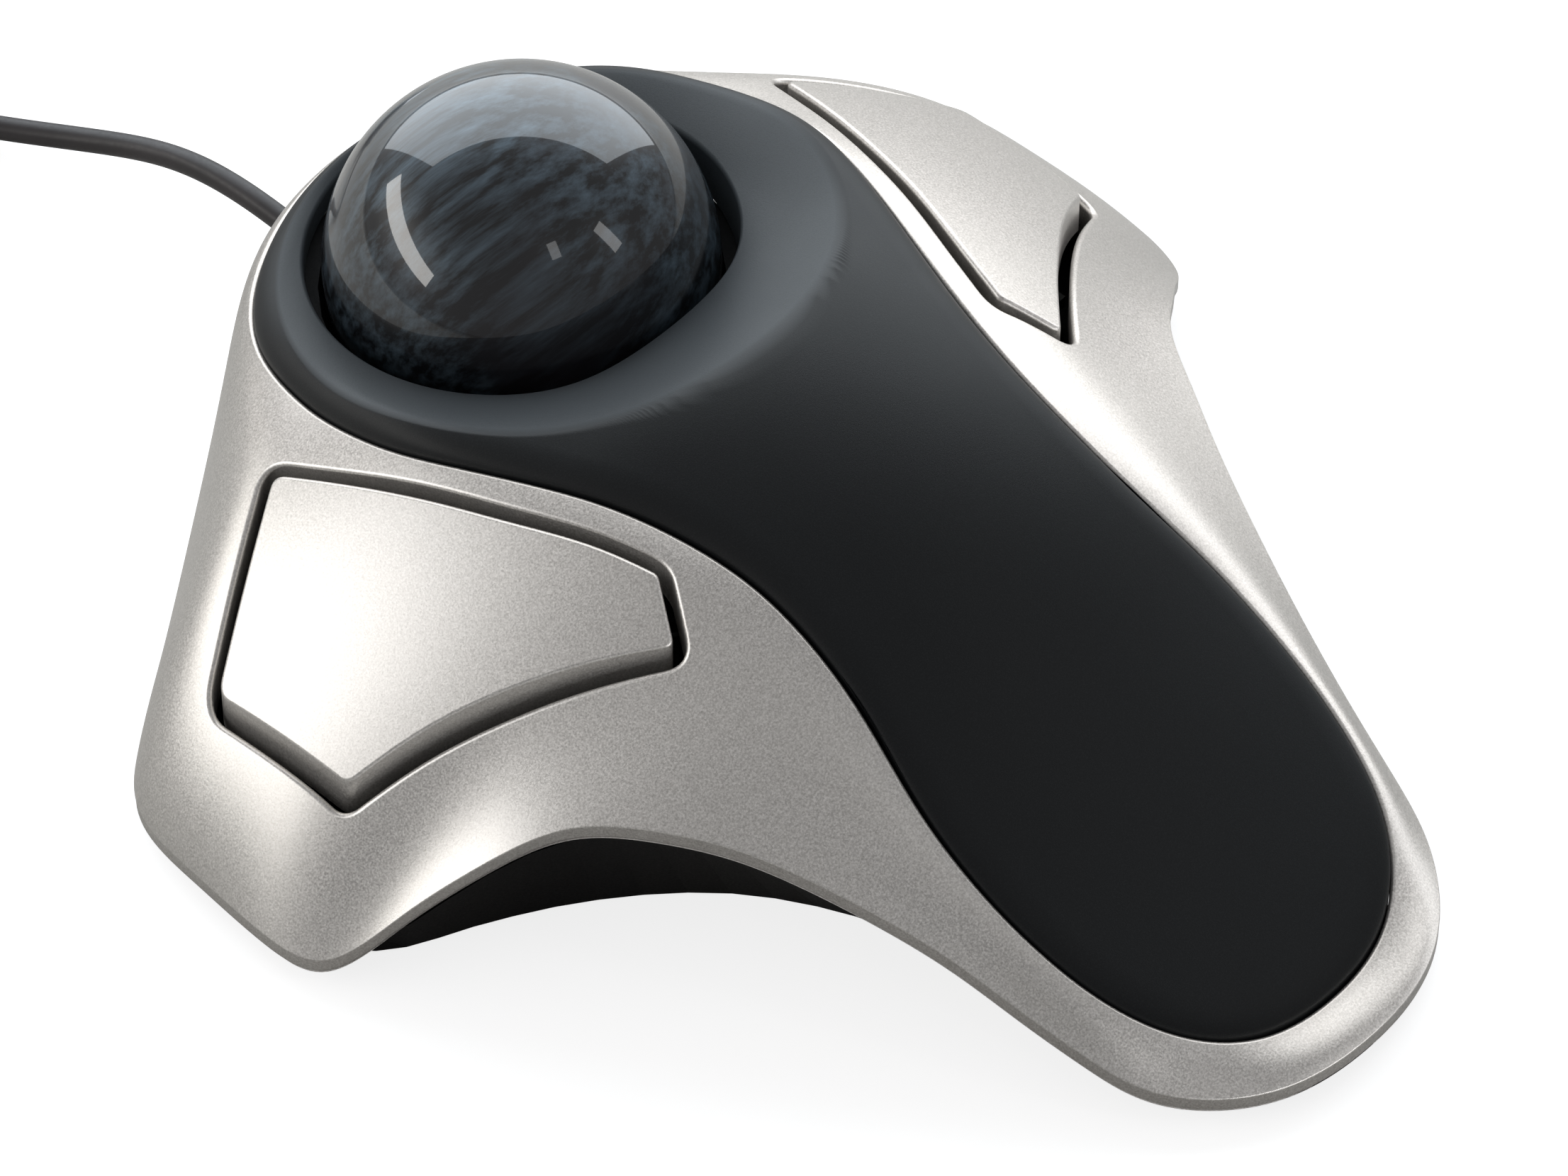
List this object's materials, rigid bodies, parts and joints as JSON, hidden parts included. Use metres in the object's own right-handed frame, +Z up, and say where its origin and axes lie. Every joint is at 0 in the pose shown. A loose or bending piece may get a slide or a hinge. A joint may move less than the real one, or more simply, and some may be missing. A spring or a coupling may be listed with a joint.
{
  "type": "trackball mouse",
  "caption": "Desktop trackball pointing device with a large finger ball, two hinged winged buttons and a sloping palm rest, on a USB lead.",
  "frame": {"origin": "on the desk, below the centre of the ball, in the middle of the footprint", "axes": "+X to the user's right, +Y away from the user towards the lead, +Z up"},
  "size_m": [0.1284, 0.2262, 0.0498],
  "materials": {
    "silver_paint": "warm silver metallic paint with a fine fleck on moulded plastic",
    "soft_touch": "charcoal soft-touch coat with a fine grain",
    "base_black": "satin black moulded plastic",
    "ball_resin": "polished dark blue pearl resin",
    "cup_black": "satin black moulded plastic",
    "rubber_black": "matt rubber",
    "cable_jacket": "dark grey PVC jacket",
    "wire_jacket": "thin coloured insulation",
    "circuit_board": "green solder resist",
    "chip_black": "moulded epoxy",
    "white_nylon": "unpainted nylon",
    "clear_lens": "clear moulded lens",
    "red_lamp": "clear red resin",
    "steel": "plated steel",
    "can_aluminium": "drawn can",
    "label_grey": "blank satin label"
  },
  "bodies": {
    "housing": {"top_shell": "silver_paint", "centre_cover": "soft_touch", "bottom_shell": "base_black", "ball_cup": "cup_black", "ball_bearing_1": "steel", "ball_bearing_2": "steel", "ball_bearing_3": "steel", "left_switch_body": "chip_black", "right_switch_body": "chip_black", "main_board": "circuit_board", "sensor_chip": "chip_black", "sensor_lens": "clear_lens", "sensor_led": "red_lamp", "controller_chip": "chip_black", "crystal": "steel", "capacitor": "can_aluminium", "cable_header": "white_nylon", "cable_connector": "white_nylon", "cable_wire_1": "wire_jacket", "cable_wire_2": "wire_jacket", "cable_wire_3": "wire_jacket", "cable_wire_4": "wire_jacket", "case_screw_1": "steel", "case_screw_2": "steel", "case_screw_3": "steel", "case_screw_4": "steel", "case_screw_5": "steel", "cup_screw_1": "steel", "cup_screw_2": "steel", "cup_screw_3": "steel", "board_screw_1": "steel", "board_screw_2": "steel", "board_screw_3": "steel", "foot_wing_left": "rubber_black", "foot_wing_right": "rubber_black", "foot_rear_left": "rubber_black", "foot_rear_right": "rubber_black", "foot_palm": "rubber_black", "underside_label": "label_grey", "strain_relief": "rubber_black", "cable": "cable_jacket", "plug_overmould": "cable_jacket", "plug_shell": "steel", "plug_tongue": "white_nylon"},
    "trackball": {"ball": "ball_resin"},
    "left_key": {"left_button": "silver_paint"},
    "right_key": {"right_button": "silver_paint"},
    "left_plunger": {"left_switch_plunger": "white_nylon"},
    "right_plunger": {"right_switch_plunger": "white_nylon"}
  },
  "joints": [
    {"name": "ball_roll", "type": "hinge", "parent": "housing", "child": "trackball", "pos_m": [0, 0, 0.0298], "axis": [1, 0, 0], "continuous": true},
    {"name": "left_button_press", "type": "hinge", "parent": "housing", "child": "left_key", "pos_m": [-0.0364, -0.0017, 0.0292], "axis": [0.2851, -0.945, 0.1603], "range_deg": [0, 1.8]},
    {"name": "right_button_press", "type": "hinge", "parent": "housing", "child": "right_key", "pos_m": [0.0364, -0.0017, 0.0292], "axis": [0.2851, 0.945, -0.1603], "range_deg": [0, 1.8]},
    {"name": "left_switch_click", "type": "slide", "parent": "housing", "child": "left_plunger", "axis": [0, 0, -1], "range_m": [0, 0.0005]},
    {"name": "right_switch_click", "type": "slide", "parent": "housing", "child": "right_plunger", "axis": [0, 0, -1], "range_m": [0, 0.0005]}
  ],
  "couplings": [
    {"joint": "left_switch_click", "follows": "left_button_press", "m_per_rad": 0.0145},
    {"joint": "right_switch_click", "follows": "right_button_press", "m_per_rad": 0.0145}
  ]
}
